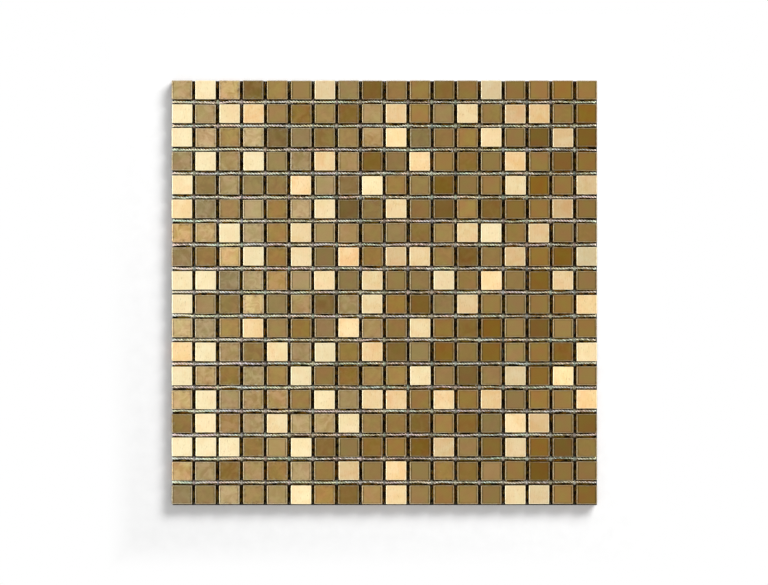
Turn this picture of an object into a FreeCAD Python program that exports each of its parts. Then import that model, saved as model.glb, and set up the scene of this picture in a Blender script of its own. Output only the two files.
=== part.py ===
import FreeCAD, Part

import os
import random

# A sheet of small metallic glass mosaic tiles, laid face up.
# The tiles sit on adhesive dots at the crossings of a yarn net, and the net lies in the joints.
# X runs along the rows and Y along the columns. The origin is on the back, at the sheet's centre.
# All sizes are in millimetres.

# The sheet
columns = 18
rows = 18
column_joint = 2.2  # between neighbours in a row
row_joint = 3.5  # between neighbours in a column

# One tile
tile_width = 14.8
tile_depth = 13.5
tile_thickness = 6.0
arris = 0.7  # the bevel round the face of a tile
laying_drift = 0.25  # how far a tile may lie off its place, each way
laying_twist = 0.35  # how far a tile may be turned off square, in degrees
laying_seed = 18

# The yarn net: the warps run up the sheet, and the wefts lie across them
warp_width = 0.9
warp_thickness = 0.9
weft_width = 1.5
weft_thickness = 1.3

# The dots of adhesive under the net's crossings
dot_thickness = 0.4
dot_lap = 1.5  # how far a dot reaches under the tiles round it

# How the tiles are laid, seen from above with +Y up the page: one letter a tile.
finish_nodes = {
    "P": "satin_pale_gold_tiles",
    "L": "gloss_light_gold_tiles",
    "M": "gloss_old_gold_tiles",
    "D": "gloss_dark_bronze_tiles",
}
laying_chart = (
    "LPLDMMPMDMMDMPMMMM",
    "PLPPMDMDLPMMPMPPMD",
    "PLMLDLDMLPMMMPMDPD",
    "LPLPMLPLDMPMDMPMDM",
    "PMLMMPLLPMMDMMPDMP",
    "PLMLMLPDMPMDMDMMPM",
    "LLPLMPLLMMDMPPMPMM",
    "LMLPMPMPMPPMDMPMDP",
    "PPLLLLPMPMMPMPMDPM",
    "PLMLMLDLPMDMPMMMMP",
    "LLMPMMLPLMPMDDMDMM",
    "PPLMPLPMPDMDMDMMDP",
    "PLMLMPMDMMPMDMPMPM",
    "LPLLLMPLPPMPMPMMMP",
    "MPLLPLLPMMDMDMPPMD",
    "PPPMLPDMDMDPMDPMDM",
    "LLDLMLMPMPMMDMMDMM",
    "LMLMLPMDLPMMMMPPMD",
)

column_pitch = tile_width + column_joint
row_pitch = tile_depth + row_joint
sheet_width = columns * column_pitch - column_joint
sheet_depth = rows * row_pitch - row_joint
tile_back = dot_thickness
warp_base = dot_thickness
weft_base = warp_base + warp_thickness


def tile_place(column, row):
    """The centre of a tile's place on the grid, with row 0 at the top of the page."""
    x = (column - (columns - 1) / 2) * column_pitch
    y = ((rows - 1) / 2 - row) * row_pitch
    return x, y


def column_joints():
    """The X of each joint between two columns."""
    return [(joint - columns / 2) * column_pitch for joint in range(1, columns)]


def row_joints():
    """The Y of each joint between two rows."""
    return [(joint - rows / 2) * row_pitch for joint in range(1, rows)]


def bar(width, depth, height, x, y, base):
    """An upright-sided bar centred on x and y, standing on base."""
    corner = FreeCAD.Vector(x - width / 2, y - depth / 2, base)
    return Part.makeBox(width, depth, height, corner)


def one_tile():
    """A tile on the origin: a slab with a sharp back and an arris round its face."""
    slab = bar(tile_width, tile_depth, tile_thickness, 0, 0, 0)
    face_edges = [edge for edge in slab.Edges if edge.BoundBox.ZMin > tile_thickness / 2]
    return slab.makeChamfer(arris, face_edges)


def drifted(nominal, drift, limit):
    """A place moved by drift, with the sheet's outer tiles held to the straight edge."""
    return max(-limit, min(limit, nominal + drift))


def laid_tiles():
    """Every tile in its place by hand, a little off the grid, listed by finish."""
    pattern = one_tile()
    chance = random.Random(laying_seed)
    edge_x, edge_y = tile_place(columns - 1, 0)
    laid = {letter: [] for letter in finish_nodes}
    for row in range(rows):
        letters = laying_chart[row % len(laying_chart)]
        for column in range(columns):
            x, y = tile_place(column, row)
            x = drifted(x, chance.uniform(-laying_drift, laying_drift), edge_x)
            y = drifted(y, chance.uniform(-laying_drift, laying_drift), edge_y)
            turn = chance.uniform(-laying_twist, laying_twist)
            tile = pattern.copy()
            tile.Placement = FreeCAD.Placement(
                FreeCAD.Vector(x, y, tile_back),
                FreeCAD.Rotation(FreeCAD.Vector(0, 0, 1), turn),
            )
            laid[letters[column % len(letters)]].append(tile)
    return laid


def yarn_net():
    """Warps and wefts as plain bars along the joints, one solid where they cross."""
    warps = [
        bar(warp_width, sheet_depth, warp_thickness, x, 0, warp_base) for x in column_joints()
    ]
    wefts = [
        bar(sheet_width, weft_width, weft_thickness, 0, y, weft_base) for y in row_joints()
    ]
    return warps[0].fuse(warps[1:] + wefts).Solids[0]


def adhesive_dots():
    """A flat dot under each crossing, which laps under the four tile corners round it."""
    width = column_joint + 2 * dot_lap
    depth = row_joint + 2 * dot_lap
    return [
        bar(width, depth, dot_thickness, x, y, 0) for y in row_joints() for x in column_joints()
    ]


def write(node, shape):
    shape.exportStep(os.path.join("parts", node + ".step"))
    size = shape.BoundBox
    print(
        f"{node}: {len(shape.Solids)} solids, valid {shape.isValid()}, "
        f"{size.XLength:.2f} x {size.YLength:.2f} x {size.ZLength:.2f} mm, "
        f"{shape.Volume / 1000:.2f} cm3"
    )


os.makedirs("parts", exist_ok=True)
for letter, tiles in laid_tiles().items():
    write(finish_nodes[letter], Part.makeCompound(tiles))
write("yarn_net", yarn_net())
write("adhesive_dots", Part.makeCompound(adhesive_dots()))
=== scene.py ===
# %% [markdown]
# A net-mounted mosaic sheet is 324 small glass tiles, a net of two kinds of yarn and 289 dots of
# adhesive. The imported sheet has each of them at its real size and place, as a plain solid.
# This lesson reads those solids and rebuilds each one where it lies, with the round edges,
# the twist and the finish of the real thing.

import math
import random

import bmesh
import bpy
import numpy as np
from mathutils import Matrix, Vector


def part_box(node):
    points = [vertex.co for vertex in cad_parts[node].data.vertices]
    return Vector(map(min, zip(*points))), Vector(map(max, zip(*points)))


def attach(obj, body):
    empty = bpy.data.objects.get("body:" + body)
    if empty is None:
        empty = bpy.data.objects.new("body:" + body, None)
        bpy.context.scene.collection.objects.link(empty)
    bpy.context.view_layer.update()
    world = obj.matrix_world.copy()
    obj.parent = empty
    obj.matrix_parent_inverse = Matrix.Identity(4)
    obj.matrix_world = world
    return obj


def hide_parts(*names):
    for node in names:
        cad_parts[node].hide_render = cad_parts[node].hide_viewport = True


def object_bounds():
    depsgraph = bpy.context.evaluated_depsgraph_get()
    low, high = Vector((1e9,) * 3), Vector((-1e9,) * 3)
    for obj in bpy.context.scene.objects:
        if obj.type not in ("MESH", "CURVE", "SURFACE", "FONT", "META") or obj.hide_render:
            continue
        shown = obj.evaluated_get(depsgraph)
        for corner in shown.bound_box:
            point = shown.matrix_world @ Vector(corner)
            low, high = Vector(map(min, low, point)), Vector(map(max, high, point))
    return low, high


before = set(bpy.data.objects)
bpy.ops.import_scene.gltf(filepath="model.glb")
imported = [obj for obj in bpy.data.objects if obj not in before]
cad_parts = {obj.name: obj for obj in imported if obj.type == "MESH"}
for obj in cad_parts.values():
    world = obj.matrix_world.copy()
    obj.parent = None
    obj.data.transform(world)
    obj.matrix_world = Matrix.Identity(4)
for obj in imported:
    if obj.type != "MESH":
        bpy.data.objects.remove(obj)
cad_box = [[float(value) for value in corner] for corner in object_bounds()]
millimetre = 0.001
half_width, half_depth, face_height = cad_box[1]
print("packed sheet, in metres:", [round(high - low, 5) for low, high in zip(*cad_box)])

# %% [markdown]
# A node of the frame holds many solids that don't touch, such as all the tiles of one finish.
# A list of their places would be wrong as soon as the sheet changed, so the script reads them:
# welding a node's corners and walking along its edges gives one group of corners a solid.

# %% Read the separate solids of a node
weld = 0.01 * millimetre


def solids_of(node):
    """The corners of each separate solid in a node of the frame, as one array for each."""
    shell = bmesh.new()
    shell.from_mesh(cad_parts[node].data)
    bmesh.ops.remove_doubles(shell, verts=shell.verts[:], dist=weld)
    waiting = {corner.index: corner for corner in shell.verts}
    solids = []
    while waiting:
        start = next(iter(waiting))
        front = [waiting.pop(start)]
        corners = []
        while front:
            corner = front.pop()
            corners.append(corner.co[:])
            for edge in corner.link_edges:
                neighbour = edge.other_vert(corner)
                if neighbour.index in waiting:
                    front.append(waiting.pop(neighbour.index))
        solids.append(np.array(corners))
    shell.free()
    return solids


dots = solids_of("adhesive_dots")
print("dots of adhesive:", len(dots))

# %% [markdown]
# The dots lie where the joints cross, so their middles give the line of every joint. A count and
# a pitch would do too, but only for an even sheet. Values closer than a joint apart belong to
# one line.

# %% Find the joints
least_step = 3 * millimetre


def lines_through(values):
    """The middle of each bunch of values, for bunches at least a joint apart."""
    ordered = np.sort(values)
    breaks = np.where(np.diff(ordered) > least_step)[0] + 1
    return np.array([bunch.mean() for bunch in np.split(ordered, breaks)])


dot_middles = np.array([dot.mean(axis=0) for dot in dots])
column_joints = lines_through(dot_middles[:, 0])
row_joints = lines_through(dot_middles[:, 1])
column_pitch = float(np.diff(column_joints).mean())
row_pitch = float(np.diff(row_joints).mean())
print(f"{len(column_joints)} joints between columns, {column_pitch / millimetre:.2f} mm apart")
print(f"{len(row_joints)} joints between rows, {row_pitch / millimetre:.2f} mm apart")

# %% [markdown]
# The photo looks straight down on the sheet, so the camera hangs over its middle. A long lens
# from well above keeps the joints open all the way to the corners, where a near camera would
# see only the sides of the tiles. The pitch of the tiles, which the photo shows in pixels,
# sets how wide the view is.

# %% Hang the camera
photo_width = 768  # pixels
pitch_in_photo = 23.825  # pixels
camera_height = 1.6
camera_aside = (-0.25 * millimetre, -0.135 * millimetre)  # off the sheet's middle
sensor_width = 36  # millimetres, as a camera's lens is given
view_width = photo_width / pitch_in_photo * column_pitch

camera = bpy.data.objects.new("copy_stand_camera", bpy.data.cameras.new("copy_stand_camera"))
camera.data.sensor_width = sensor_width
camera.data.lens = sensor_width * camera_height / view_width
camera.location = (*camera_aside, face_height + camera_height)
bpy.context.scene.collection.objects.link(camera)
bpy.context.scene.camera = camera
bpy.context.scene.view_settings.view_transform = "Standard"
print(f"view {view_width:.4f} m wide through a {camera.data.lens:.1f} mm lens")

# %% [markdown]
# A finish is a tree of shader nodes. Written out, every setting and every link takes a line of
# its own, so one helper does them all: it links a value that is a socket and sets any other.
# With it, a finish reads as a list of what feeds what.

# %% Helpers that place shader nodes


def feed(tree, node, inputs):
    """Links or sets inputs of a node, by name or number. A colour may leave out its alpha."""
    for name, value in inputs.items():
        socket = node.inputs[name]
        if isinstance(value, bpy.types.NodeSocket):
            tree.links.new(value, socket)
        elif socket.type == "RGBA" and len(value) == 3:
            socket.default_value = (*value, 1.0)
        else:
            socket.default_value = value


def place(tree, kind, inputs, **settings):
    """Adds a node, with its settings and its inputs."""
    node = tree.nodes.new("ShaderNode" + kind)
    for name, value in settings.items():
        setattr(node, name, value)
    feed(tree, node, inputs)
    return node


def number(tree, operation, *values):
    """The result of a sum on numbers, which takes in one value after the other."""
    result = values[0]
    for value in values[1:]:
        result = place(tree, "Math", {0: result, 1: value}, operation=operation).outputs[0]
    return result


def plus(tree, *values):
    """Some numbers added up."""
    return number(tree, "ADD", *values)


def times(tree, *values):
    """Some numbers multiplied."""
    return number(tree, "MULTIPLY", *values)


def unsigned(tree, value):
    """A number without its sign."""
    return place(tree, "Math", {0: value}, operation="ABSOLUTE").outputs[0]


def fitted(tree, value, source, target=(0.0, 1.0), smooth=False):
    """A value stretched from one range to another, and held inside the new one."""
    ends = dict(zip(("From Min", "From Max", "To Min", "To Max"), (*source, *target)))
    way = "SMOOTHSTEP" if smooth else "LINEAR"
    return place(tree, "MapRange", {"Value": value, **ends}, interpolation_type=way).outputs["Result"]


def blended(tree, share, first, second, way="MIX"):
    """Two colours mixed by a share."""
    inputs = {"Factor": share, 6: first, 7: second}
    return place(tree, "Mix", inputs, data_type="RGBA", blend_type=way, clamp_factor=True).outputs[2]


# %% [markdown]
# A finish starts from where it is on the mesh. Each mesh here carries numbers and places at its
# points, which stay with the piece when it is moved or exported. Noise about such a place gives
# the marks. A group packs up what more than one finish needs, with named sockets.

# %% Helpers that read the mesh and make groups and finishes


def noise(tree, where, **inputs):
    """Noise from 0 to 1 about a place. Its other inputs are named as on the node."""
    return place(tree, "TexNoise", {"Vector": where, **inputs}).outputs["Fac"]


def mesh_value(tree, name):
    """A number that the mesh carries at each of its points."""
    return place(tree, "Attribute", {}, attribute_name=name).outputs["Fac"]


def mesh_place(tree, name):
    """A vector that the mesh carries at each of its points."""
    return place(tree, "Attribute", {}, attribute_name=name).outputs["Vector"]


def new_group(name, inputs, outputs, made="Float"):
    """An empty group with named sockets: its tree, what it is given, and its output node."""
    group = bpy.data.node_groups.new(name, "ShaderNodeTree")
    for label, value in inputs.items():
        kind = "Float" if isinstance(value, float) else {3: "Vector", 4: "Color"}[len(value)]
        socket = group.interface.new_socket(label, in_out="INPUT", socket_type="NodeSocket" + kind)
        socket.default_value = value
    for label in outputs:
        group.interface.new_socket(label, in_out="OUTPUT", socket_type="NodeSocket" + made)
    print(f"group: {name}, which gives {', '.join(outputs)}")
    return group, group.nodes.new("NodeGroupInput").outputs, group.nodes.new("NodeGroupOutput")


def use_group(tree, name, inputs):
    """Places a group with values of its own, and gives its outputs."""
    return place(tree, "Group", inputs, node_tree=bpy.data.node_groups[name]).outputs


def new_finish(name):
    """A material, its node tree and its shader."""
    finish = bpy.data.materials.new(name)
    finish.use_nodes = True
    print("finish:", name)
    return finish, finish.node_tree, finish.node_tree.nodes["Principled BSDF"]


# %% [markdown]
# The studio is a white table under even light. The world is bright to the camera and to
# mirrors, because a metal film shows what hangs over it, and dimmer as a lamp, so that the
# narrow joints fall into shade as they do on the real sheet. Light Path tells the two apart.

# %% Light from all round
room_level = 0.32
world = bpy.data.worlds.new("white_studio")
bpy.context.scene.world = world
world.use_nodes = True
sky = world.node_tree
seen = place(sky, "LightPath", {}).outputs
shown = number(sky, "MAXIMUM", seen["Is Camera Ray"], seen["Is Glossy Ray"], seen["Is Transmission Ray"])
strength = fitted(sky, shown, (0.0, 1.0), (room_level, 1.0))
feed(sky, sky.nodes["Background"], {"Color": (1.0, 1.0, 1.0), "Strength": strength})
print("room level", room_level)

# %% [markdown]
# Soft boxes light the set. The key stands behind the sheet on the right, low enough for a six
# millimetre tile to cast a soft edge of shadow in front and on the left. Two side boxes shine
# along the joints between rows, which is what makes the yarn bright there, while the
# joints between columns lie across their light and stay dark.
# A mirror shows a lamp far brighter than yarn does, so the tiles have four fainter boxes of
# their own, one on each side, which draw a pale line on the arrises of each tile. Light linking
# tells each box what it lights. A box overhead lights the table alone, to lift the key's shadow
# to a light grey.

# %% Set up the soft boxes
collections = [bpy.data.collections.new(f"{lit}_pieces") for lit in ("table", "net", "tile", "keyed")]
table_pieces, net_pieces, tile_pieces, keyed_pieces = collections
keyed_pieces.children.link(table_pieces)
keyed_pieces.children.link(net_pieces)


def soft_box(name, lit, azimuth, rise, distance, size, level):
    """A rectangular lamp that faces the sheet. Its level is what it adds to a white table."""
    azimuth, rise = math.radians(azimuth), math.radians(rise)
    lamp = bpy.data.objects.new(name, bpy.data.lights.new(name, "AREA"))
    lamp.data.shape = "RECTANGLE"
    lamp.data.size, lamp.data.size_y = size
    # From afar a lamp of one watt lights the table with sin(rise) / (pi * distance**2), and
    # white paper looks as bright as that divided by pi
    lamp.data.energy = level * math.pi**2 * distance**2 / math.sin(rise)
    lamp.rotation_euler = (math.pi / 2 - rise, 0, azimuth + math.pi / 2)
    lamp.location = (
        distance * math.cos(rise) * math.cos(azimuth),
        distance * math.cos(rise) * math.sin(azimuth),
        distance * math.sin(rise),
    )
    bpy.context.scene.collection.objects.link(lamp)
    lamp.light_linking.receiver_collection = lit


stand_off = 1.6  # from the sheet to the side boxes
yarn_box, rim_box = (0.6, 0.45), (1.2, 0.8)
soft_box("key_box", keyed_pieces, azimuth=53, rise=27.5, distance=2.6, size=(1.7, 0.8), level=0.64)
soft_box("left_box", net_pieces, azimuth=180, rise=30, distance=stand_off, size=yarn_box, level=0.68)
soft_box("right_box", net_pieces, azimuth=0, rise=30, distance=stand_off, size=yarn_box, level=0.44)
soft_box("left_rim_box", tile_pieces, azimuth=180, rise=32, distance=stand_off, size=rim_box, level=0.18)
soft_box("right_rim_box", tile_pieces, azimuth=0, rise=32, distance=stand_off, size=rim_box, level=0.05)
soft_box("back_rim_box", tile_pieces, azimuth=90, rise=36, distance=stand_off, size=rim_box, level=0.07)
soft_box("front_rim_box", tile_pieces, azimuth=270, rise=36, distance=stand_off, size=rim_box, level=0.05)
soft_box("table_box", table_pieces, azimuth=90, rise=90, distance=3.0, size=(1.5, 1.5), level=0.26)

# %% [markdown]
# The table is white paper. Near the sheet the camera sees it as it is lit, with the shadow.
# Further off it fades to plain white, as a photographer's sweep does, so the edge of the shadow
# is the only thing on it.

# %% Lay the table
table_half = 4.0
table_drop = 0.2 * millimetre
shadow_reach = (0.175, 0.2)  # from the middle, where the lit paper fades to white
matt = {"Roughness": 0.9, "Specular IOR Level": 0.1}


def flat_stage(name, low, high, drop, finish):
    """A level rectangle of the set, a little below the sheet's back, between two corners."""
    corners = [(low[0], low[1], 0), (high[0], low[1], 0), (high[0], high[1], 0), (low[0], high[1], 0)]
    data = bpy.data.meshes.new(name)
    data.from_pydata(corners, [], [(0, 1, 2, 3)])
    data.materials.append(finish)
    piece = bpy.data.objects.new(name, data)
    piece.location.z = -drop
    bpy.context.scene.collection.objects.link(piece)
    print(f"{name}: {high[0] - low[0]:.3f} by {high[1] - low[1]:.3f} m")
    return piece


def square_distance(tree):
    """How far a point is from the middle of the set, along the farther of the two sides."""
    position = place(tree, "NewGeometry", {}).outputs["Position"]
    x, y = place(tree, "SeparateXYZ", {0: position}).outputs[:2]
    return number(tree, "MAXIMUM", unsigned(tree, x), unsigned(tree, y))


paper, tree, shader = new_finish("white_paper")
whole = place(tree, "TexCoord", {}).outputs["Generated"]
pulp = noise(tree, whole, Scale=900.0, Detail=3.0)
feed(tree, shader, {"Base Color": fitted(tree, pulp, (0.3, 0.7), (0.88, 0.91)), **matt})
away = fitted(tree, square_distance(tree), shadow_reach, smooth=True)
plain = times(tree, away, place(tree, "LightPath", {}).outputs["Is Camera Ray"])
glow = place(tree, "Emission", {"Strength": 1.0}).outputs[0]
both = place(tree, "MixShader", {0: plain, 1: shader.outputs[0], 2: glow}).outputs[0]
feed(tree, tree.nodes["Material Output"], {"Surface": both})
table = flat_stage("white_table", (-table_half, -table_half), (table_half, table_half), table_drop, paper)
table_pieces.objects.link(table)

# %% [markdown]
# White paper under the joints would light them up from below. On the real sheet the joints lie in
# deep shade, brown to nearly black, so a card of the sheet's own size lies under it as painted
# shade. Its brown patches are a painted reflection of the glass sides, its black ones deeper
# painted shade, and it turns plain dark near its edge, where it can be seen from the side, as a
# painted contact shadow.

# %% Lay the card of painted shade
card_drop = 0.05 * millimetre
card_inset = 0.3 * millimetre
card_fade = 2.5 * millimetre  # from the sheet's edge, where the card starts to turn to painted contact shadow
front_lip = 1.1 * millimetre  # how far the card shows in front, as a thin line of shade
# how far the card shows on the right, as a thin line of painted shade
right_lip = 0.33 * millimetre

card, tree, shader = new_finish("painted_shade_card")
whole = place(tree, "TexCoord", {}).outputs["Generated"]
# Painted shade for the joints: warm patches as painted reflection of the glass sides, black ones as deeper
# shade
warm = fitted(tree, noise(tree, whole, Scale=45.0, Detail=2.0), (0.42, 0.58), smooth=True)
deepest_shade = fitted(tree, noise(tree, whole, Scale=60.0, Detail=2.0), (0.43, 0.57), (0.0, 0.95))
# Plain dark near the edge: painted contact shadow where the card shows past the sheet
edge = fitted(tree, square_distance(tree), (half_depth - card_fade, half_depth - card_inset))
dark = blended(tree, warm, (0.84, 0.55, 0.06), (1.0, 0.46, 0.04))
dark = blended(tree, deepest_shade, dark, (0.02, 0.012, 0.004))
dark = blended(tree, edge, dark, (0.022, 0.022, 0.010))
feed(tree, shader, {"Base Color": dark, **matt})
card_low = (cad_box[0][0] + card_inset, cad_box[0][1] - front_lip)
card_high = (half_width + right_lip, half_depth)
flat_stage("painted_shade_card", card_low, card_high, card_drop, card)

# %% [markdown]
# Tiles of one finish still differ: some are paler, some warmer, and the hue drifts a little
# inside each one. A finish for every tile would be 324 materials. Instead each tile carries its
# tone and warmth in its mesh, and this group applies them to the colour of the finish. Each
# tile also carries a place of its own, far from the next tile's, so no two show the same marks.

# %% Group for the tone of each tile
tree, given, result = new_group(
    "Tone of each tile",
    {"Film": (0.5, 0.5, 0.5, 1.0), "Tone": 0.0, "Warmth": 0.0, "Place": (0.0, 0.0, 0.0), "Wander": 1.0},
    ("Film",),
    made="Color",
)
drift = fitted(tree, noise(tree, given["Place"], Scale=110.0, Detail=1.0), (0.3, 0.7), (-1.0, 1.0))
drift = times(tree, drift, given["Wander"])
toned = {
    "Hue": fitted(tree, plus(tree, given["Warmth"], drift), (-2.0, 2.0), (0.518, 0.482)),
    "Saturation": fitted(tree, given["Warmth"], (-1.6, 1.6), (0.82, 1.18)),
    "Value": plus(tree, given["Tone"], times(tree, drift, 0.025), 1.0),
    "Color": given["Film"],
}
feed(tree, result, {"Film": place(tree, "HueSaturation", toned).outputs[0]})

# %% [markdown]
# A thin metal film is cloudy: it is thicker here and thinner there, with soft borders. Plain
# noise is too even for it, so the noise is bent by itself and its middle values are spread.
# The adhesive is cloudy in the same way, only finer, so both use this group.

# %% Group for clouds
tree, given, result = new_group(
    "Clouds", {"Place": (0.0, 0.0, 0.0), "Size": 0.004, "Sharpness": 0.2}, ("Cloud",)
)
rate = number(tree, "DIVIDE", 1.0, given["Size"])
drift = noise(tree, given["Place"], Scale=rate, Detail=4.0, Roughness=0.55, Distortion=0.8)
low = number(tree, "SUBTRACT", 0.5, given["Sharpness"])
high = plus(tree, 0.5, given["Sharpness"])
feed(tree, result, {"Cloud": fitted(tree, drift, (low, high), smooth=True)})

# %% [markdown]
# Dust under the film leaves pin specks. They are single, far apart and round, which noise never
# is. A Voronoi texture has one centre in each cell, and its random colour says which of the
# cells have a speck.

# %% Group for pin specks
tree, given, result = new_group(
    "Pin specks", {"Place": (0.0, 0.0, 0.0), "Spacing": 0.003, "Share": 0.3}, ("Speck",)
)
rate = number(tree, "DIVIDE", 1.0, given["Spacing"])
cells = place(tree, "TexVoronoi", {"Vector": given["Place"], "Scale": rate}).outputs
drawn = place(tree, "SeparateColor", {0: cells["Color"]}).outputs[0]
chosen = number(tree, "LESS_THAN", drawn, given["Share"])
near = fitted(tree, cells["Distance"], (0.04, 0.11), (1.0, 0.0), smooth=True)
feed(tree, result, {"Speck": times(tree, near, chosen)})

# %% [markdown]
# The film wears off the arris first, and the pale rim also stands for the lamps' highlight on the
# arris, so it is partly real wear and partly a painted highlight. Just inside it lies a thin line
# of painted shade. Both follow the tile's edge, so the mesh carries where they are, and the group
# only breaks them up with noise.

# %% Group for the rim of a tile: wear, painted highlight and painted shade
tree, given, result = new_group(
    "Worn, highlit and shaded rim",
    {"Place": (0.0, 0.0, 0.0), "Rim": 0.0, "Line": 0.0, "Wear and highlight": 0.4, "Depth": 0.3},
    ("Bare and highlit", "Shade"),
)
patch = noise(tree, given["Place"], Scale=420.0, Detail=3.0)
worn_and_highlit = fitted(tree, patch, (0.35, 0.6), (0.3, 1.0))
lined = fitted(tree, patch, (0.4, 0.6), (1.0, 0.8))
bare_and_highlit = times(tree, worn_and_highlit, given["Rim"], given["Wear and highlight"])
feed(tree, result, {"Bare and highlit": bare_and_highlit, "Shade": times(tree, lined, given["Line"], given["Depth"])})

# %% [markdown]
# Some tiles have brown stains, mostly near their edges, where the film dried last, and pale
# ripples there, which are a painted reflection of the dimpled edge. A stain is the top of a rough
# noise. A ripple is the thin line where a smoother, bent noise crosses one level.

# %% Group for stains and painted ripple glints near the edge
tree, given, result = new_group(
    "Stains and glints near the edge",
    {"Place": (0.0, 0.0, 0.0), "Border": 0.0, "Amount": 0.5},
    ("Stain", "Ripple glint"),
)
near = times(tree, fitted(tree, given["Border"], (0.45, 0.95), smooth=True), given["Amount"])
blot = noise(tree, given["Place"], Scale=380.0, Detail=5.0, Roughness=0.65)
blot = fitted(tree, blot, (0.5, 0.64), smooth=True)
swirl = noise(tree, given["Place"], Scale=260.0, Detail=2.0, Distortion=1.2)
swirl = unsigned(tree, number(tree, "SUBTRACT", swirl, 0.52))
swirl = fitted(tree, swirl, (0.004, 0.02), (1.0, 0.0), smooth=True)
feed(tree, result, {"Stain": times(tree, blot, near), "Ripple glint": times(tree, swirl, near)})

# %% [markdown]
# The sides of a tile were hardly coated, so they are dark glass, browner on some tiles than on
# others. A second material on the side faces would end in a hard line. Instead the mesh says
# how much of each point is side, and the film fades out towards the glass.

# %% Group for the glass of the sides
tree, given, result = new_group(
    "Glass of the sides",
    {"Face": (0.5, 0.5, 0.5, 1.0), "Side": 0.0, "Warmth": 0.0},
    ("Colour",),
    made="Color",
)
browner = fitted(tree, given["Warmth"], (-0.4, 0.8))
glass = blended(tree, browner, (0.060, 0.038, 0.008), (0.28, 0.10, 0.014))
feed(tree, result, {"Colour": blended(tree, given["Side"], given["Face"], glass)})

# %% [markdown]
# Both kinds of tile are glass with a film on the face, so their finishes place the same three
# groups: the tone of the tile, its worn rim with its painted highlight and shade, and its sides.
# Each gets its values from the mesh, and a function for each keeps the two finishes short.

# %% Steps that every tile's finish takes
side_gloss = 0.2
# the colour of the line of painted shade just inside the arris
shade_olive = (0.045, 0.036, 0.008)


def toned_film(tree, colour, wander):
    """The colour of one tile's film, from the colour of its finish."""
    values = {
        "Film": colour,
        "Tone": mesh_value(tree, "tone"),
        "Warmth": mesh_value(tree, "warmth"),
        "Place": mesh_place(tree, "tile_place"),
        "Wander": wander,
    }
    return use_group(tree, "Tone of each tile", values)["Film"]


def over_the_rim(tree, face, rim_colour, wear_and_highlight, depth):
    """A face's colour, rubbed and painted with a highlight on its arris, with a line of painted shade
    inside.
    """
    values = {
        "Place": mesh_place(tree, "tile_place"),
        "Rim": mesh_value(tree, "rim"),
        "Line": mesh_value(tree, "line"),
        "Wear and highlight": wear_and_highlight,
        "Depth": fitted(tree, mesh_value(tree, "cloudiness"), (0.0, 1.0), (depth, 0.4 * depth)),
    }
    rim = use_group(tree, "Worn, highlit and shaded rim", values)
    lined = blended(tree, rim["Shade"], face, shade_olive)
    return blended(tree, rim["Bare and highlit"], lined, rim_colour), rim["Bare and highlit"]


def over_the_side(tree, face):
    """The colour of a face, with the dark glass of the sides below it."""
    values = {"Face": face, "Side": mesh_value(tree, "side"), "Warmth": mesh_value(tree, "warmth")}
    return use_group(tree, "Glass of the sides", values)["Colour"]


print("gloss of the sides:", side_gloss)

# %% [markdown]
# A glossy tile is a mirror, softened by haze and thin clouds, so it is metallic in Blender's
# terms, and only its sides are not. The tiles on the left of the sheet are the cloudy and
# stained ones, which the mesh says with its cloudiness. A faint bump gives the glass its
# orange peel. Three tones of the same film differ in colour alone, so a function makes them.

# %% Finishes for the glossy tiles
stain_brown = (0.17, 0.085, 0.022)
stain_strength = 0.75
ripple_glint_strength = 0.6
speck_strength = 0.6


def glossy_film(name, colour, thin_colour, rim_colour):
    """The finish of a glossy tile: its film, thin places, painted ripple glints and rubbed, highlit rim."""
    finish, tree, shader = new_finish(name)
    where = mesh_place(tree, "tile_place")
    cloudiness = mesh_value(tree, "cloudiness")
    clouds = use_group(tree, "Clouds", {"Place": where, "Size": 0.006, "Sharpness": 0.16})
    cloudy = times(tree, clouds["Cloud"], cloudiness)
    face = toned_film(tree, blended(tree, cloudy, colour, thin_colour), 1.5)
    edge = {"Place": where, "Border": mesh_value(tree, "border"), "Amount": cloudiness}
    marks = use_group(tree, "Stains and glints near the edge", edge)
    face = blended(tree, times(tree, marks["Stain"], stain_strength), face, stain_brown)
    # Painted reflection: pale ripples near the edge of the film
    face = blended(tree, times(tree, marks["Ripple glint"], ripple_glint_strength), face, rim_colour)
    specks = use_group(tree, "Pin specks", {"Place": where, "Spacing": 0.0026, "Share": 0.12})
    face = blended(tree, times(tree, specks["Speck"], cloudiness, speck_strength), face, rim_colour)
    # Rim of real wear and painted highlight, with a line of painted shade inside it
    face, bare_and_highlit = over_the_rim(tree, face, rim_colour, wear_and_highlight=0.62, depth=1.0)
    side = mesh_value(tree, "side")
    haze = fitted(tree, cloudy, (0.0, 1.0), (0.16, 0.26))
    peel = noise(tree, where, Scale=700.0, Detail=2.0)
    bump = place(tree, "Bump", {"Strength": 0.12, "Distance": 0.05 * millimetre, "Height": peel})
    film = {
        "Base Color": over_the_side(tree, face),
        "Metallic": fitted(tree, side, (0.0, 1.0), (0.96, 0.0)),
        "Roughness": plus(tree, haze, times(tree, bare_and_highlit, 0.15), times(tree, side, 0.3)),
        "Specular IOR Level": side_gloss,
        "Normal": bump.outputs[0],
    }
    feed(tree, shader, film)
    return finish


glossy_colours = {
    "gloss_light_gold": ((0.312, 0.209, 0.082), (0.405, 0.290, 0.138), (0.56, 0.52, 0.40)),
    "gloss_old_gold": ((0.303, 0.188, 0.060), (0.36, 0.235, 0.075), (0.46, 0.43, 0.32)),
    "gloss_dark_bronze": ((0.215, 0.122, 0.028), (0.27, 0.17, 0.05), (0.38, 0.35, 0.26)),
}
finishes = {}
for tone, colours in glossy_colours.items():
    finishes[tone + "_tiles"] = glossy_film(tone + "_film", *colours)

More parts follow.
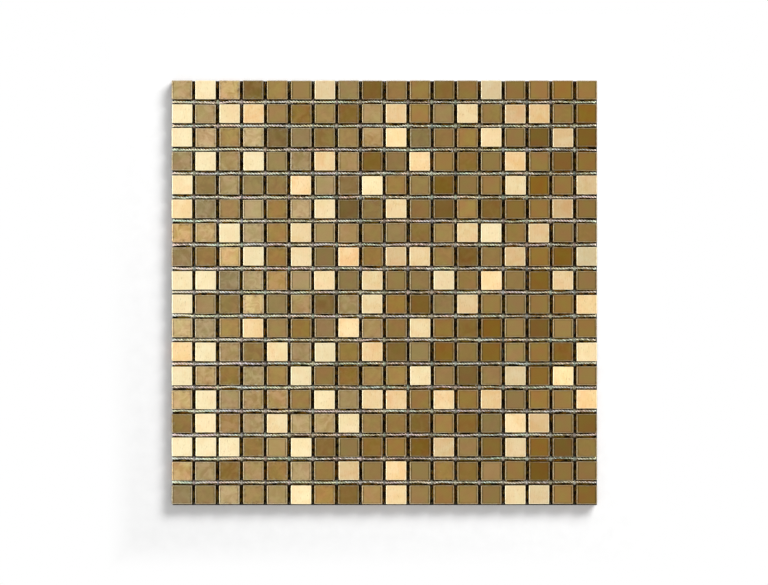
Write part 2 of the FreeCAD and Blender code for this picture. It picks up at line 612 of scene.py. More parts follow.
# %% [markdown]
# A satin tile has the same glass under a pale gold film that was brushed, so it scatters
# the light and looks nearly cream. The brushing runs up the sheet, and it is faint: noise drawn
# out that way changes the colour, the roughness and the bump together. A few dark ticks and
# pin specks follow it.

# %% Finish for the satin tiles
satin_colour = (0.884, 0.717, 0.421)
satin_thin = (0.85, 0.624, 0.328)
satin_rim = (1.0, 0.95, 0.70)
tick_brown = (0.42, 0.28, 0.11)


def brushed_noise(tree, where, across, along, detail):
    """Noise drawn out up the sheet, as brushing leaves it. The two rates are in marks a metre."""
    pulled = place(tree, "Mapping", {"Vector": where, "Scale": (across, along, along)}).outputs[0]
    return noise(tree, pulled, Scale=1.0, Detail=detail)


satin, tree, shader = new_finish("satin_pale_gold_film")
where = mesh_place(tree, "tile_place")
clouds = use_group(tree, "Clouds", {"Place": where, "Size": 0.010, "Sharpness": 0.2})
face = toned_film(tree, blended(tree, clouds["Cloud"], satin_colour, satin_thin), 0.7)
grain = brushed_noise(tree, where, across=2600.0, along=120.0, detail=3.0)
face = blended(tree, fitted(tree, grain, (0.35, 0.65), (0.0, 0.16)), face, satin_thin, "MULTIPLY")
ticks = brushed_noise(tree, where, across=2200.0, along=420.0, detail=2.0)
ticks = fitted(tree, ticks, (0.62, 0.7), (0.0, 0.45))
specks = use_group(tree, "Pin specks", {"Place": where, "Spacing": 0.0030, "Share": 0.16})
specks = number(tree, "MAXIMUM", ticks, times(tree, specks["Speck"], speck_strength))
# Rim of real wear and painted highlight, with a faint line of painted shade inside it
face, bare_and_highlit = over_the_rim(tree, blended(tree, specks, face, tick_brown), satin_rim, wear_and_highlight=0.75, depth=0.14)
bump = place(tree, "Bump", {"Strength": 0.15, "Distance": 0.03 * millimetre, "Height": grain})
film = {
    "Base Color": over_the_side(tree, face),
    "Metallic": fitted(tree, mesh_value(tree, "side"), (0.0, 1.0), (0.9, 0.0)),
    "Roughness": fitted(tree, grain, (0.3, 0.7), (0.36, 0.5)),
    "Specular IOR Level": side_gloss,
    "Normal": bump.outputs[0],
}
feed(tree, shader, film)
finishes["satin_pale_gold_tiles"] = satin

# %% [markdown]
# Each tile is rebuilt on its own four back corners, so it keeps its place, its drift off the
# grid and its small turn. Its sides as vectors, its thickness and its arris are all
# read from its corners.

# %% Measure the tiles in the frame


def tile_frame(corners):
    """The middle of a tile's back, its two sides as vectors, its thickness and its arris."""
    low, high = corners[:, 2].min(), corners[:, 2].max()
    back = corners[corners[:, 2] < low + weld]
    face = corners[corners[:, 2] > high - weld]
    middle = back.mean(axis=0)
    # Its corners in order, anticlockwise from the one nearest the front left of the sheet
    back = back[np.argsort(np.arctan2(*(back - middle)[:, 1::-1].T))]
    across = (back[1] - back[0] + back[2] - back[3]) / 2
    along = (back[3] - back[0] + back[2] - back[1]) / 2
    width = np.linalg.norm(across)
    arris = (width - np.ptp(face @ across / width)) / 2
    return {"middle": middle, "across": across, "along": along, "thickness": high - low, "arris": arris}


tiles = []
for node in finishes:
    for corners in solids_of(node):
        tile = tile_frame(corners)
        tile["node"] = node
        tile["column"] = int(np.searchsorted(column_joints, tile["middle"][0]))
        tile["row"] = len(row_joints) - int(np.searchsorted(row_joints, tile["middle"][1]))
        tiles.append(tile)
tiles.sort(key=lambda tile: (tile["row"], tile["column"]))

# %% [markdown]
# A tile could be a box with a Bevel modifier, but then nothing would say where its rim is.
# Here it is a stack of rings of points, from a small bevel at the back up the straight
# sides, round the arris and in over the flat face. A ring is a rectangle with round
# corners, and the same number of points in every ring makes the faces between them easy.

# %% Draw a ring
corner_steps = 3
side_points = 3
ring_size = 4 * (corner_steps + 1 + side_points)


def outline(half_x, half_y, radius):
    """The points of a rectangle with round corners, anticlockwise, and how much each of them
    faces left or right, from 0 to 1."""
    # The points turn round the middle of a corner, then move along the side to the next one
    turn = np.append(np.linspace(0, 1, corner_steps + 1), np.ones(side_points))
    share = np.append(np.zeros(corner_steps + 1), np.arange(1, side_points + 1) / (side_points + 1))
    turns = (np.arange(4)[:, None] + turn).ravel() * math.pi / 2
    signs = np.array([(1, 1), (-1, 1), (-1, -1), (1, -1), (1, 1)])
    corners = signs * (half_x - radius, half_y - radius)
    middles = corners[:-1, None] + share[:, None] * np.diff(corners, axis=0)[:, None]
    facing = np.column_stack([np.cos(turns), np.sin(turns)])
    return middles.reshape(-1, 2) + radius * facing, np.abs(facing[:, 0])


def band(rings, points, first):
    """The four-sided faces between rings of points, from the number of the first point."""
    faces = []
    for low in range(first, first + (rings - 1) * points, points):
        for point in range(points):
            after = (point + 1) % points
            faces.append((low + point, low + after, low + points + after, low + points + point))
    return faces


def closed_band(rings, points):
    """The faces of a form whose rings lie between its first point and its last one."""
    faces = band(rings, points, 1)
    last_ring = 1 + (rings - 1) * points
    for point in range(points):
        after = (point + 1) % points
        faces.append((0, 1 + after, 1 + point))
        faces.append((last_ring + points, last_ring + point, last_ring + after))
    return faces


print("points in a ring of a tile:", ring_size)

# %% [markdown]
# The glass was cut from strips: the cut sides, left and right, have the fuller arris and the barer
# rim, which is real wear and painted highlight. On the other two the film is painted a little way
# down the side, as painted light on arrises that face away from the lamps. Each ring therefore
# carries four numbers for the finish: how much rim, side, line of painted shade and border it has.

# %% Stack the rings of a tile
back_bevel = 0.2 * millimetre
flank_top = 1.3  # where the straight side ends below the face, in arrises
film_end = 0.9  # where the film, painted down a pressed side as painted light, is whole again, in arrises below the face
arris_steps = 5
rim_fade = 0.4  # how much of the worn rim and its painted highlight is left where the arris meets the face
rim_line = 0.5 * millimetre  # from the arris to the line of painted shade inside it
wide_ring = 2.4 * millimetre  # from the arris to the last ring of points
carried_labels = ("rim", "side", "line", "border")


def tile_rings(thickness, arris, half_size):
    """Each ring of a tile from back to face: its inset, its height and the four numbers."""
    rings = []
    for inset, height in ((back_bevel, 0), (0, back_bevel), (0, thickness - flank_top * arris)):
        rings.append((inset, height, 0, 1, 0, 1))
    for step in range(arris_steps + 1):
        turn = math.pi / 2 * step / arris_steps
        inset, height = arris * (1 - math.cos(turn)), thickness - arris * (1 - math.sin(turn))
        rim = 1 if step < arris_steps else rim_fade
        rings.append((inset, height, rim, max(0, 1 - 2 * step / arris_steps), 0, 1))
    for inset, line in ((rim_line, 1), (2 * rim_line, 0), (wide_ring, 0)):
        rings.append((arris + inset, thickness, 0, 0, line, 1 - (arris + inset) / half_size))
    return rings


print(f"dark line {rim_line / millimetre:.1f} mm inside the arris")

# %% [markdown]
# Pressed glass isn't even. The outline of each tile is a little uneven, and its face leans by
# up to a sixth of a degree along each side, so that the mirrors don't all show the same spot.
# The random numbers come from one source with a fixed seed, so every run lays the same sheet.

# %% Shape one tile
pressed_arris = 0.7  # size of the two pressed arrises, as a share of a cut one
pressed_rim = 0.9  # what each number of a cut side keeps on a pressed one
pressed_side = 0.65
pressed_line = 0.35
corner_radius = 0.5 * millimetre
least_radius = 0.05 * millimetre
face_lean = 0.003  # slope of a face off level along each side, at most
sink = 0.045 * millimetre  # keeps a leaning face inside the sheet's thickness
unevenness = 0.006  # of a tile's size, along its outline
chance = random.Random(324)


def eased(least, sideways):
    """A share that is whole on the cut sides and falls to its least on the pressed ones."""
    return least + (1 - least) * sideways


def tile_form(tile):
    """One tile: its points in the sheet, its faces, and what the points carry."""
    width, depth = np.linalg.norm(tile["across"]), np.linalg.norm(tile["along"])
    thickness, arris = tile["thickness"], tile["arris"]
    film_levels = (back_bevel, thickness - flank_top * arris, thickness - film_end * arris)
    slope = np.array([chance.uniform(-face_lean, face_lean) for _ in range(2)])
    shrink = 1 - np.array([chance.uniform(0, unevenness) for _ in range(ring_size)])
    rings = tile_rings(thickness, arris, depth / 2)
    points, numbers = [[(0, 0, 0)]], [[(0, 1, 0, 1)]]
    for inset, height, rim, side, line, border in rings:
        inset_along = inset - (1 - pressed_arris) * min(inset, arris)
        radius = max(corner_radius - inset, least_radius)
        flat, sideways = outline(width / 2 - inset, depth / 2 - inset_along, radius)
        flat = flat * shrink[:, None]
        lift = (flat @ slope - sink) * (height > thickness / 2)
        points.append(np.column_stack([flat, height + lift]))
        rim = rim * eased(pressed_rim, sideways)
        # On a pressed side the film is painted down the arris, as painted light
        side = side * eased(np.interp(height, film_levels, (1, pressed_side, 0)), sideways)
        line = line * eased(pressed_line, sideways)
        numbers.append(np.column_stack([rim, side, line, np.full(ring_size, border)]))
    points.append([(0, 0, thickness - sink)])
    numbers.append([(0, 0, 0, 0)])
    local = np.concatenate(points)
    # From a tile laid square at the middle of the sheet to where this one lies
    there = tile["middle"] + local[:, :1] * tile["across"] / width + local[:, 1:2] * tile["along"] / depth
    there[:, 2] += local[:, 2]
    carried = dict(zip(carried_labels, np.concatenate(numbers).T))
    carried["tile_place"] = local + [chance.uniform(0, 9) for _ in range(3)]
    return {"points": there, "faces": closed_band(len(rings), ring_size), "carried": carried}


print("a face leans along a side by at most", round(math.degrees(face_lean), 2), "degrees")

# %% [markdown]
# Hundreds of objects would be slow to handle, so all the forms of one kind are joined into one
# mesh. What a form carries becomes attributes of the mesh, one value for each point. Every
# piece then gets its finish, the lamps that light it and its place in the frame: it rides on
# the sheet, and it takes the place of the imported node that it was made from.

# %% Join forms into a piece


def join_forms(name, forms):
    """One piece from many forms. A form carries a value, or one for each of its points."""
    faces, start = [], 0
    for form in forms:
        faces += [[start + corner for corner in face] for face in form["faces"]]
        start += len(form["points"])
    data = bpy.data.meshes.new(name)
    data.from_pydata(np.concatenate([form["points"] for form in forms]).tolist(), [], faces)
    for label in forms[0]["carried"]:
        values = [form["carried"][label] for form in forms]
        if np.ndim(values[0]) == 0:
            values = [np.full(len(form["points"]), value) for form, value in zip(forms, values)]
        values = np.concatenate(values).astype(np.float32)
        kind, key = ("FLOAT_VECTOR", "vector") if values.ndim == 2 else ("FLOAT", "value")
        data.attributes.new(label, kind, "POINT").data.foreach_set(key, values.ravel())
    data.polygons.foreach_set("use_smooth", np.ones(len(data.polygons), bool))
    data.update()
    piece = bpy.data.objects.new(name, data)
    bpy.context.scene.collection.objects.link(piece)
    print(f"{name}: {sum(len(face) - 2 for face in faces)} triangles")
    return piece


def dress(piece, finish, lit, node, replaces=True):
    """Gives a piece its finish and its lamps, hangs it on the sheet, and hides the node it replaces, if any.
    """
    piece.data.materials.append(finish)
    lit.objects.link(piece)
    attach(piece, "root")
    if replaces:
        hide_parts(node)


# %% [markdown]
# The sheet isn't the same all over. The tiles on the left are paler, cooler and cloudier, with
# more spread, as if they came from another batch. So a tile's tone and warmth are drawn about
# a value that depends on how far left it lies, by a plan for each finish.

# %% Build the tiles of each finish
sharp_edge = 32  # degrees, above which an edge of a tile isn't shaded as round
# For each finish: how much paler it is on the left of the sheet than in its middle, how much its
# tiles differ in tone at the right and left ends, how warm it is at the right end, in the
# middle and at the left end, and how much its tiles differ in warmth
tone_plan = {
    "satin_pale_gold_tiles": (0.07, (0.15, 0.03), (0.7, 0, -2.0), 0.9),
    "gloss_light_gold_tiles": (0.48, (0.08, 0.28), (0.3, 0, -0.3), 0.45),
    "gloss_old_gold_tiles": (0.06, (0.08, 0.13), (0.3, 0, -0.3), 0.4),
    "gloss_dark_bronze_tiles": (0.06, (0.10, 0.10), (0.3, 0, -0.3), 0.3),
}
warmth_limits = (-1.8, 1.3)
usual_cloudiness = 0.42
cloudier_left = 0.5
cloudiness_spread = 0.22
stock = {node: [] for node in finishes}
for tile in tiles:
    form = tile_form(tile)
    leftness = -tile["middle"][0] / half_width
    paler, tone_ends, warmth_ends, warmth_spread = tone_plan[tile["node"]]
    spread = np.interp(leftness, (-1, 1), tone_ends)
    form["carried"]["tone"] = paler * leftness + max(-2 * spread, chance.gauss(0, spread))
    warmth = chance.gauss(np.interp(leftness, (-1, 0, 1), warmth_ends), warmth_spread)
    form["carried"]["warmth"] = np.clip(warmth, *warmth_limits)
    cloudiness = usual_cloudiness + cloudier_left * leftness + chance.gauss(0, cloudiness_spread)
    form["carried"]["cloudiness"] = np.clip(cloudiness, 0, 1)
    stock[tile["node"]].append(form)

for node, forms in stock.items():
    piece = join_forms(node.replace("_tiles", "_glass"), forms)
    piece.data.set_sharp_from_angle(angle=math.radians(sharp_edge))
    dress(piece, finishes[node], tile_pieces, node)

# %% [markdown]
# A yarn is made of strands, and a strand is a tube along a line of points. Blender's curves
# could draw it, but here the radius, the shine and the dirt change along it, so the tube is
# made point by point. Slow drifts keep it from looking like wire.

# %% Helpers for yarn
lay_girth = 0.01  # what one turn round a strand counts for, next to metres along it
# A drift has the steps from one of its values to the next, and the size of its values
fine_shine_drift = (3, 0.9)
broad_shine_drift = (26, 1.3)
frayed_shine = 2.4
yarn_chance = np.random.default_rng(289)


def tube(centres, radii, sides):
    """The rings of points of a tube along a line of centres."""
    run = np.gradient(centres, axis=0)
    run /= np.linalg.norm(run, axis=1)[:, None]
    left = np.cross([0.0, 0.0, 1.0], run)
    left /= np.linalg.norm(left, axis=1)[:, None]
    over = np.cross(run, left)
    turns = np.linspace(0, 2 * math.pi, sides, endpoint=False)[:, None]
    ring = np.cos(turns) * left[:, None] + np.sin(turns) * over[:, None]
    return centres[:, None] + ring * radii[:, None, None]


def wander(count, every, size):
    """A slow, smooth drift along a yarn, as a new value at every so many steps."""
    knots = yarn_chance.normal(0, size, count // every + 3)
    return np.interp(np.arange(count) / every, np.arange(len(knots)), knots)


def strand_form(centres, radii, sides, frayed, crown_base, crown_span):
    """One strand, which carries its points' place along and round it, how bright its
    stretches are, and how high they stand on the yarn."""
    rings = tube(centres, radii, sides)
    count = len(centres)
    ends = [tuple(reversed(range(sides))), tuple(range((count - 1) * sides, count * sides))]
    steps = np.linalg.norm(np.diff(centres, axis=0), axis=1)
    length = np.append(0, np.cumsum(steps))
    around = np.arange(sides) / sides * lay_girth
    own_place = yarn_chance.uniform(0, 99)
    lay = np.stack(np.broadcast_arrays(length[:, None], around, own_place), axis=-1)
    lustre = wander(count, *fine_shine_drift) + wander(count, *broad_shine_drift) + frayed_shine * frayed
    crown = (rings[:, :, 2] - crown_base) / crown_span + np.reshape(frayed, (-1, 1)) ** 2
    carried = {
        "lay": lay.reshape(-1, 3),
        "lustre": np.repeat(lustre, sides),
        "crown": np.clip(crown, 0, 1).ravel(),
    }
    return {"points": rings.reshape(-1, 3), "faces": band(count, sides, 0) + ends, "carried": carried}


def yarn_piece(name, finish, strands, crown_base, crown_span, replaces=False):
    """One piece of yarn from strands, each with its centres, radii, sides and how frayed it is."""
    forms = [strand_form(*strand, crown_base, crown_span) for strand in strands]
    dress(join_forms(name, forms), finish, net_pieces, "yarn_net", replaces)


# %% [markdown]
# Glass yarn is a bundle of fibres. Along it, short patches are bright where the fibres lie open
# to the light, fine fibres run along it, and its hue shifts a little from one stretch to the
# next. The patches and fibres belong to a strand, so they follow its lay. The hue is that
# of the whole yarn, so it follows the sheet, where both plies lie at the same place.

# %% Group for the fibres of a yarn
tree, given, result = new_group(
    "Fibres of a yarn",
    {"Lay": (0.0, 0.0, 0.0), "Patch length": 0.0014},
    ("Patch", "Fibre", "Tint", "Blush"),
)
along, around, own = place(tree, "SeparateXYZ", {0: given["Lay"]}).outputs
run = {0: number(tree, "DIVIDE", along, given["Patch length"]), 1: 0.0, 2: times(tree, own, 3.7)}
patch = noise(tree, place(tree, "CombineXYZ", run).outputs[0], Scale=1.0, Detail=2.0)
drawn = place(tree, "Mapping", {"Vector": given["Lay"], "Scale": (900.0, 1400.0, 5.0)}).outputs[0]
spot = place(tree, "TexCoord", {}).outputs["Object"]
spot = place(tree, "Mapping", {"Vector": spot, "Scale": (48.0, 300.0, 0.0)}).outputs[0]
hues = place(tree, "TexNoise", {"Vector": spot, "Scale": 1.0, "Detail": 1.0}).outputs["Color"]
hues = place(tree, "SeparateColor", {0: hues}).outputs
fibres = {
    "Patch": patch,
    "Fibre": noise(tree, drawn, Scale=1.0, Detail=3.0),
    "Tint": fitted(tree, hues[0], (0.32, 0.68)),
    "Blush": fitted(tree, hues[1], (0.30, 0.70)),
}
feed(tree, result, fibres)

# %% [markdown]
# Neither the yarn nor the adhesive is one plain grey: from place to place both turn a little
# cool or warm, and a little lilac or green. This group multiplies a colour by two such tints.
# Mixing the tints in would lift the dark places, and multiplying keeps them dark.

# %% Group for faint tints
tree, given, result = new_group(
    "Faint tints",
    {"Colour": (0.5, 0.5, 0.5, 1.0), "Tint": 0.5, "Blush": 0.5},
    ("Colour",),
    made="Color",
)
cool_or_warm = blended(tree, given["Tint"], (0.85, 1.01, 1.15), (1.13, 0.99, 0.86))
lilac_or_green = blended(tree, given["Blush"], (1.06, 0.90, 1.06), (0.94, 1.10, 0.94))
tempered = blended(tree, 1.0, given["Colour"], cool_or_warm, "MULTIPLY")
feed(tree, result, {"Colour": blended(tree, 1.0, tempered, lilac_or_green, "MULTIPLY")})

# %% [markdown]
# One finish serves three yarns. Of the two plies that cross the sheet one is cleaner than the
# other, and the yarn up the sheet is painted dark, as painted shade of the deep joints it runs in.
# The low places between the plies are painted darker, as painted shade, and the crown, the part
# that stands up, keeps the yarn's colour.

# %% Finishes for the yarns
# colour of the painted shade between the plies
yarn_trough_shade = (0.16, 0.125, 0.055)
patch_length = 1.0 * millimetre
lustre_lift = 0.09


def yarn_finish(name, dull, bright, patch_range, trough_shade=yarn_trough_shade, trough_shade_share=0.95, gloss=0.5):
    """The finish of a yarn, from its dull and its bright stretches to the painted shade between its plies.
    """
    finish, tree, shader = new_finish(name)
    lay = {"Lay": mesh_place(tree, "lay"), "Patch length": patch_length}
    fibre = use_group(tree, "Fibres of a yarn", lay)
    lift = times(tree, mesh_value(tree, "lustre"), lustre_lift)
    # Painted sheen: bright patches where the fibres lie open to the light
    lit_patch = fitted(tree, plus(tree, fibre["Patch"], lift), patch_range, smooth=True)
    coat = blended(tree, lit_patch, dull, bright)
    coat = blended(tree, fitted(tree, fibre["Fibre"], (0.45, 0.7), (0.0, 0.5)), coat, dull)
    # Painted shade: the lower a point lies on the yarn, the more of the shade colour it takes
    trough_shaded = fitted(tree, mesh_value(tree, "crown"), (0.25, 0.95), (trough_shade_share, 0.0))
    coat = blended(tree, trough_shaded, coat, trough_shade)
    tints = {"Colour": coat, "Tint": fibre["Tint"], "Blush": fibre["Blush"]}
    bump = place(tree, "Bump", {"Strength": 0.5, "Distance": 0.1 * millimetre, "Height": fibre["Fibre"]})
    surface = {
        "Base Color": use_group(tree, "Faint tints", tints)["Colour"],
        "Roughness": fitted(tree, fibre["Fibre"], (0.3, 0.7), (0.28, 0.55)),
        "Specular IOR Level": gloss,
        "Normal": bump.outputs[0],
    }
    feed(tree, shader, surface)
    return finish


clean_yarn = yarn_finish("clean_glass_yarn", (0.34, 0.30, 0.205), (0.83, 0.775, 0.63), (0.35, 0.47))
dull_yarn = yarn_finish("dull_glass_yarn", (0.295, 0.26, 0.175), (0.75, 0.70, 0.565), (0.37, 0.51))
# The yarn up the sheet is painted mostly dark, as painted shade of its joints; its cut ends stay pale
shade_dark_yarn = yarn_finish(
    "shade_dark_glass_yarn",
    (0.060, 0.032, 0.010),
    (0.55, 0.48, 0.36),
    (0.6, 0.8),
    trough_shade=(0.020, 0.011, 0.004),
    trough_shade_share=0.7,
    gloss=0.15,
)

# %% [markdown]
# The yarn across the sheet is two plies twisted together and stiffened with resin, so it shows
# a chain of bright beads with painted shade between them. Each ply is a tube that winds round the
# yarn's line, half a turn from the other. Some stretches are slack and lie flat, others are
# pulled thin. All the first plies make one piece and all the second ones another, which keeps
# each piece under 200,000 triangles.

# %% Twist the yarns that cross the sheet
net_low, net_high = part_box("yarn_net")
ply_radius = 0.55 * millimetre
ply_limits = (0.7 * ply_radius, 1.12 * ply_radius)
twist_width = 0.38 * millimetre  # how far a ply swings sideways, and how far it rises
twist_rise = 0.30 * millimetre
twist_length = 4.26 * millimetre
ring_step = 0.6 * millimetre
weft_middle = net_high.z - ply_radius - twist_rise
weft_sides = 7
slack_drift = (24, 0.6)
twist_drift = (20, 0.5)
line_drift = (14, 0.25 * millimetre)
girth_drift = (3, 0.1)
knot_reach = 1.1 * millimetre
knot_hold = 0.8  # how much of the drift of a yarn's line is held back at a crossing
sag = 0.1 * millimetre  # how far a yarn sinks between two crossings
fray_reach = 7.0 * millimetre
right_fray = 0.3  # how frayed the right ends are, next to the left ones
off_middle = 0.075 * millimetre  # the yarns lie a little behind the middle of their joints
fuller_left = 0.5  # how much looser and brighter the yarns are over the left half, next to frayed ends
end_gap = 0.38 * millimetre  # keeps a splayed end inside the sheet


def weft(y):
    """The two plies of one yarn across the sheet."""
    count = int((net_high.x - net_low.x) / ring_step)
    x = np.linspace(net_low.x + end_gap, net_high.x - end_gap, count)
    # Tight where it crosses a joint between columns, and slack or pulled thin in between
    nearest = np.abs(x[:, None] - column_joints).min(axis=1)
    tight = np.exp(-((nearest / knot_reach) ** 2))
    slack = np.clip(wander(count, *slack_drift), -1, 1)
    turn = 2 * math.pi * x / twist_length + yarn_chance.uniform(0, 2 * math.pi) + wander(count, *twist_drift)
    middle_y = y + off_middle + wander(count, *line_drift) * (1 - knot_hold * tight)
    middle_z = weft_middle - sag * (1 - tight)
    # Frayed at both ends, most at the left one, and looser over the whole left half
    frayed = np.clip(1 - (net_high.x - np.abs(x)) / fray_reach, 0, 1) * np.where(x < 0, 1.0, right_fray)
    frayed = np.maximum(frayed, fuller_left * np.clip(0.2 - x / net_high.x, 0, 1) ** 1.5)
    apart = 1 - 0.25 * tight + 0.22 * slack + 0.5 * frayed
    for half_turn in (0, math.pi):
        radii = ply_radius * (1 - 0.1 * tight + 0.12 * slack + wander(count, *girth_drift))
        radii = np.clip(radii, *ply_limits)
        sideways = middle_y + twist_width * apart * np.cos(turn + half_turn)
        height = middle_z + twist_rise * np.minimum(apart, 1) * np.sin(turn + half_turn)
        yield np.column_stack([x, sideways, height]), radii, weft_sides, frayed


plies = [ply for y in row_joints for ply in weft(y)]
crown_levels = (weft_middle + ply_radius - 0.32 * millimetre, 0.44 * millimetre)
yarn_piece("yarns_across_first_plies", clean_yarn, plies[0::2], *crown_levels, replaces=True)
yarn_piece("yarns_across_second_plies", dull_yarn, plies[1::2], *crown_levels)

# %% [markdown]
# The yarn up the sheet is a pair of thin ends. At each yarn across, one end passes over it and
# the other under it, and they change places on the way to the next, which locks the net.
# A slow half turn at every pitch does this: its cosine says which side an end is on. The cut
# front ends stand up, pale, between the tiles of the last row.

# %% Twist the pairs that run up the sheet
end_radius = 0.2 * millimetre
pair_step = 0.5 * millimetre
pair_sides = 5
pair_line_drift = (25, 0.1 * millimetre)
pair_girth_drift = (4, 0.08)
pair_floor = net_low.z + end_radius
eye_half = 0.42 * millimetre
eye_reach = 1.1 * millimetre
cut_reach = 1.6 * millimetre  # how much of the cut front end of a pair is pale and stands up
cut_rise = 2.4 * millimetre
over_height = net_high.z - 0.3 * millimetre


def warp(x):
    """The two ends of one yarn up the sheet."""
    count = int((net_high.y - net_low.y) / pair_step)
    y = np.linspace(net_low.y, net_high.y, count)
    # Apart where they cross a yarn, one end over it, and wound round each other in between
    nearest = np.abs(y[:, None] - row_joints).argmin(axis=1)
    at_eye = np.exp(-(((y - row_joints[nearest]) / eye_reach) ** 2))
    swap = math.pi * (y - row_joints[0]) / row_pitch
    middle_x = x + wander(count, *pair_line_drift)
    cut = np.clip(1.3 - (y - net_low.y) / cut_reach, 0, 1)
    for half_turn, sign in ((0, 1), (math.pi, -1)):
        over = ((nearest % 2) * 2 - 1) * sign > 0
        side = np.cos(swap + half_turn)
        sideways = np.sign(side) * eye_half * at_eye + side * 1.1 * end_radius * (1 - at_eye)
        rise = np.where(over, over_height - pair_floor, 0.0)
        height = pair_floor + end_radius * (1 - at_eye) * (1 + np.sin(swap + half_turn))
        height += rise * at_eye + cut * cut_rise
        centres = np.column_stack([middle_x + sideways, y, height])
        yield centres, end_radius * (1 + wander(count, *pair_girth_drift)), pair_sides, cut


ends = [end for x in column_joints for end in warp(x)]
for name, some_ends in (("yarns_up_first_ends", ends[0::2]), ("yarns_up_second_ends", ends[1::2])):
    yarn_piece(name, shade_dark_yarn, some_ends, pair_floor - end_radius, 3 * end_radius)

# %% [markdown]
# Single fibres work loose from the yarn. They stand in some of the joints between columns,
# where they catch the light above the dark, and a few short tails curl at the crossings.
# They are few and thin, but without them the joints look machined.

# %% Loosen some fibres
loose_share = 0.3
tail_share = 0.16
loose_sides = 4
loose_points = 14
joint_half = 0.5 * millimetre  # how far a loose fibre may stand off its joint's line
fibre_span = (0.06, 0.94)  # where a fibre may start and end, as shares of the way up the joint
fibre_top = (1.2, 3.6)  # millimetres above the foot of the net
fibre_radius = (0.08, 0.17)  # millimetres
tail_reach = (1.2, 2.0)  # millimetres
tail_radius = (0.12, 0.2)  # millimetres
tail_turns = [0.25, 0.75, 1.25, 1.75]  # half turns, so a tail points to one of the four tiles


def loose_fibre(x, low_y, high_y):
    """One fibre that wanders up a joint between two crossings."""
    share = np.linspace(0, 1, loose_points)
    first, last = np.sort(yarn_chance.uniform(*fibre_span, 2))
    y = low_y + (high_y - low_y) * (first + (last - first) * share)
    off_line, swing = yarn_chance.uniform(-1, 1), yarn_chance.normal(0, 0.5)
    sideways = np.clip(off_line + swing * np.sin(share * yarn_chance.uniform(3, 8)), -1, 1)
    top = yarn_chance.uniform(*fibre_top) * millimetre
    height = net_low.z + top * (0.6 + 0.4 * np.sin(math.pi * share))
    centres = np.column_stack([x + sideways * joint_half, y, height])
    return centres, np.full(loose_points, yarn_chance.uniform(*fibre_radius) * millimetre), loose_sides, 1.0


def tail(x, y):
    """A short end of yarn that curls out of a crossing."""
    share = np.linspace(0, 1, loose_points)
    turn = yarn_chance.choice(tail_turns) * math.pi
    turn = turn + yarn_chance.normal(0, 0.2) + 0.5 * share
    reach = yarn_chance.uniform(*tail_reach) * millimetre * share
    height = net_high.z + 0.1 * millimetre * np.sin(math.pi * share)
    centres = np.column_stack([x + 0.5 * reach * np.cos(turn), y + 0.75 * reach * np.sin(turn), height])
    return centres, yarn_chance.uniform(*tail_radius) * millimetre * (1 - 0.6 * share**2), loose_sides, 0.5


loose = []
for x in column_joints:
    for low_y, high_y in zip(row_joints[:-1], row_joints[1:]):
        if yarn_chance.random() < loose_share:
            loose.append(loose_fibre(x, low_y, high_y))
    for y in row_joints:
        if yarn_chance.random() < tail_share:
            loose.append(tail(x, y))
print(len(loose), "loose fibres and tails")
yarn_piece("loose_fibres", clean_yarn, loose, 0.0, 0.1 * millimetre)

# %% [markdown]
# Set adhesive is cloudy and a little grey, darker in its thick heart, and now and then faintly
# lilac or green. It isn't clear enough to need a glass shader: clouds between two greys look
# the same from above and render faster. The pressed rim of each dot, deep in the joint, is
# painted darker, as dirt and painted shade.

# %% Finish for the adhesive
tone_depth = 0.45
heart_grey = (0.185, 0.178, 0.145)
# the brown of dirt and painted shade on each dot's pressed rim
grime_and_shade_brown = (0.10, 0.065, 0.02)

glue, tree, shader = new_finish("cloudy_adhesive")
where = mesh_place(tree, "dot_place")
milk = use_group(tree, "Clouds", {"Place": where, "Size": 0.0016, "Sharpness": 0.25})["Cloud"]
body = blended(tree, milk, (0.175, 0.159, 0.118), (0.35, 0.318, 0.246))
thick = fitted(tree, mesh_value(tree, "heart"), (0.35, 0.9), (0.0, 0.7), smooth=True)
body = blended(tree, thick, body, heart_grey)
lighter = plus(tree, times(tree, mesh_value(tree, "tone"), tone_depth), 1.0)
body = place(tree, "HueSaturation", {"Value": lighter, "Color": body}).outputs[0]
tints = {"Colour": body, "Tint": mesh_value(tree, "tint"), "Blush": mesh_value(tree, "blush")}
body = use_group(tree, "Faint tints", tints)["Colour"]
skin = noise(tree, where, Scale=1500.0, Detail=2.0)
bump = place(tree, "Bump", {"Strength": 0.4, "Distance": 0.1 * millimetre, "Height": skin})
surface = {
    "Base Color": blended(tree, mesh_value(tree, "grime_and_shade"), body, grime_and_shade_brown),
    "Roughness": fitted(tree, milk, (0.0, 1.0), (0.22, 0.4)),
    "Normal": bump.outputs[0],
}
feed(tree, shader, surface)

# %% [markdown]
# The adhesive was squeezed out as a drop at each crossing. It is flat where it was pressed
# between the tiles and the bench, and it climbs over the yarn in a soft diamond in the open
# crossing. Each dot is again a stack of rings, first those of the pad and then those of the
# drop. A superellipse gives both outlines: its power turns a diamond into a rounded square.

# %% Drop the adhesive
dot_points = 24
dot_spread = 1.03  # of the dot in the frame
drop_half = (1.65 * millimetre, 2.35 * millimetre)
drop_top = net_high.z + 0.06 * millimetre
top_spread = 0.05
pad_top = net_low.z
pad_power, drop_power = 3.0, 1.15
lump_waves, lump_size = (1, 2, 3, 5), 0.035  # bulges round a dot, and their size next to its own
dot_tone_spread, dot_tone_limits = 0.6, (-1.1, 1.2)
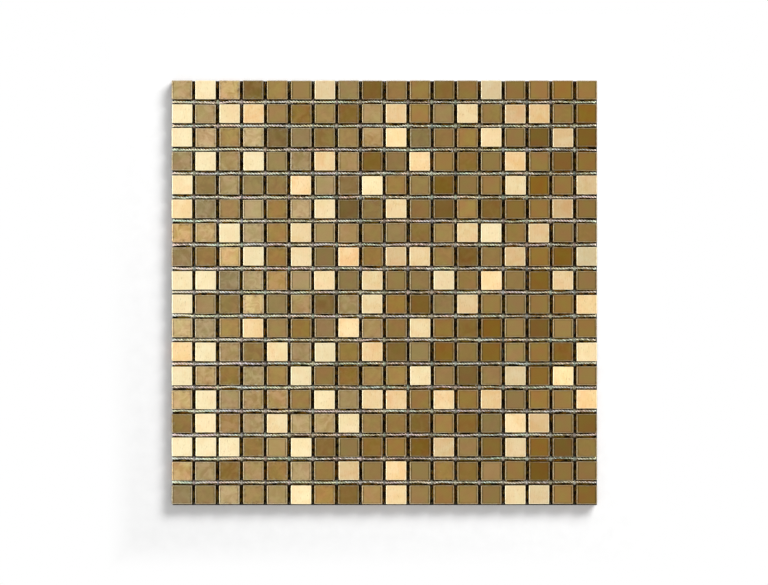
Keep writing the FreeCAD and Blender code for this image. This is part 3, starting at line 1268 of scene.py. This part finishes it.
# Share of the outline and share of the height, first for the pressed pad and then for the drop
pad_levels = ((0.93, 0.0), (1.0, 0.5), (0.95, 1.0))
drop_levels = ((1.0, 0.0), (0.9, 0.4), (0.72, 0.74), (0.46, 0.94), (0.18, 1.0))
heart_of_level = (0.0, 0.0, 0.0, 0.0, 0.0, 0.3, 0.7, 1.0)
grime_and_shade_of_level = (0.0, 0.5, 1.0, 0.9, 0.3, 0.0, 0.0, 0.0)  # dirt and painted shade on the pad's top, deep in the joint


def round_reach(turn, half_x, half_y, power):
    """How far a rounded outline reaches in a direction: power 1 is a diamond, 2 an ellipse."""
    x_part, y_part = np.abs(np.cos(turn) / half_x) ** power, np.abs(np.sin(turn) / half_y) ** power
    return (x_part + y_part) ** (-1 / power)


def dot_rings(dot):
    """The points of one dot of adhesive, from its back to the top of its drop."""
    low, high = dot.min(axis=0), dot.max(axis=0)
    turn = np.linspace(0, 2 * math.pi, dot_points, endpoint=False)
    lumps = 0
    for wave in lump_waves:
        lumps += yarn_chance.normal(0, lump_size) * np.cos(wave * turn + yarn_chance.uniform(0, 6))
    pad = round_reach(turn, *(dot_spread * (high - low)[:2] / 2), pad_power) * (1 + lumps)
    drop = round_reach(turn, *drop_half, drop_power) * (1 + 0.6 * lumps)
    top = drop_top * (1 + yarn_chance.normal(0, top_spread))
    rings = [(pad * reach, low[2] + (pad_top - low[2]) * share) for reach, share in pad_levels]
    rings += [(drop * reach, pad_top + (top - pad_top) * share) for reach, share in drop_levels]
    spots = [[(0, 0, low[2])]]
    for radius, height in rings:
        level = np.full(dot_points, height)
        spots.append(np.column_stack([radius * np.cos(turn), radius * np.sin(turn), level]))
    spots.append([(0, 0, top)])
    return np.concatenate(spots) + [*(low + high)[:2] / 2, 0]


dots.sort(key=lambda dot: (round(dot[:, 1].mean() / row_pitch), dot[:, 0].mean()))
dot_faces = closed_band(len(pad_levels) + len(drop_levels), dot_points)
heart = np.concatenate([[0.0], np.repeat(heart_of_level, dot_points), [1.0]])
grime_and_shade = np.concatenate([[0.0], np.repeat(grime_and_shade_of_level, dot_points), [0.0]])
drops = []
for dot in dots:
    points = dot_rings(dot)
    carried = {
        "dot_place": points + yarn_chance.uniform(0, 9, 3),
        "tone": np.clip(yarn_chance.normal(0, dot_tone_spread), *dot_tone_limits),
        "tint": yarn_chance.uniform(0, 1),
        "blush": yarn_chance.uniform(0, 1),
        "heart": heart,
        "grime_and_shade": grime_and_shade,
    }
    drops.append({"points": points, "faces": dot_faces, "carried": carried})
dress(join_forms("adhesive_drops", drops), glue, net_pieces, "adhesive_dots")
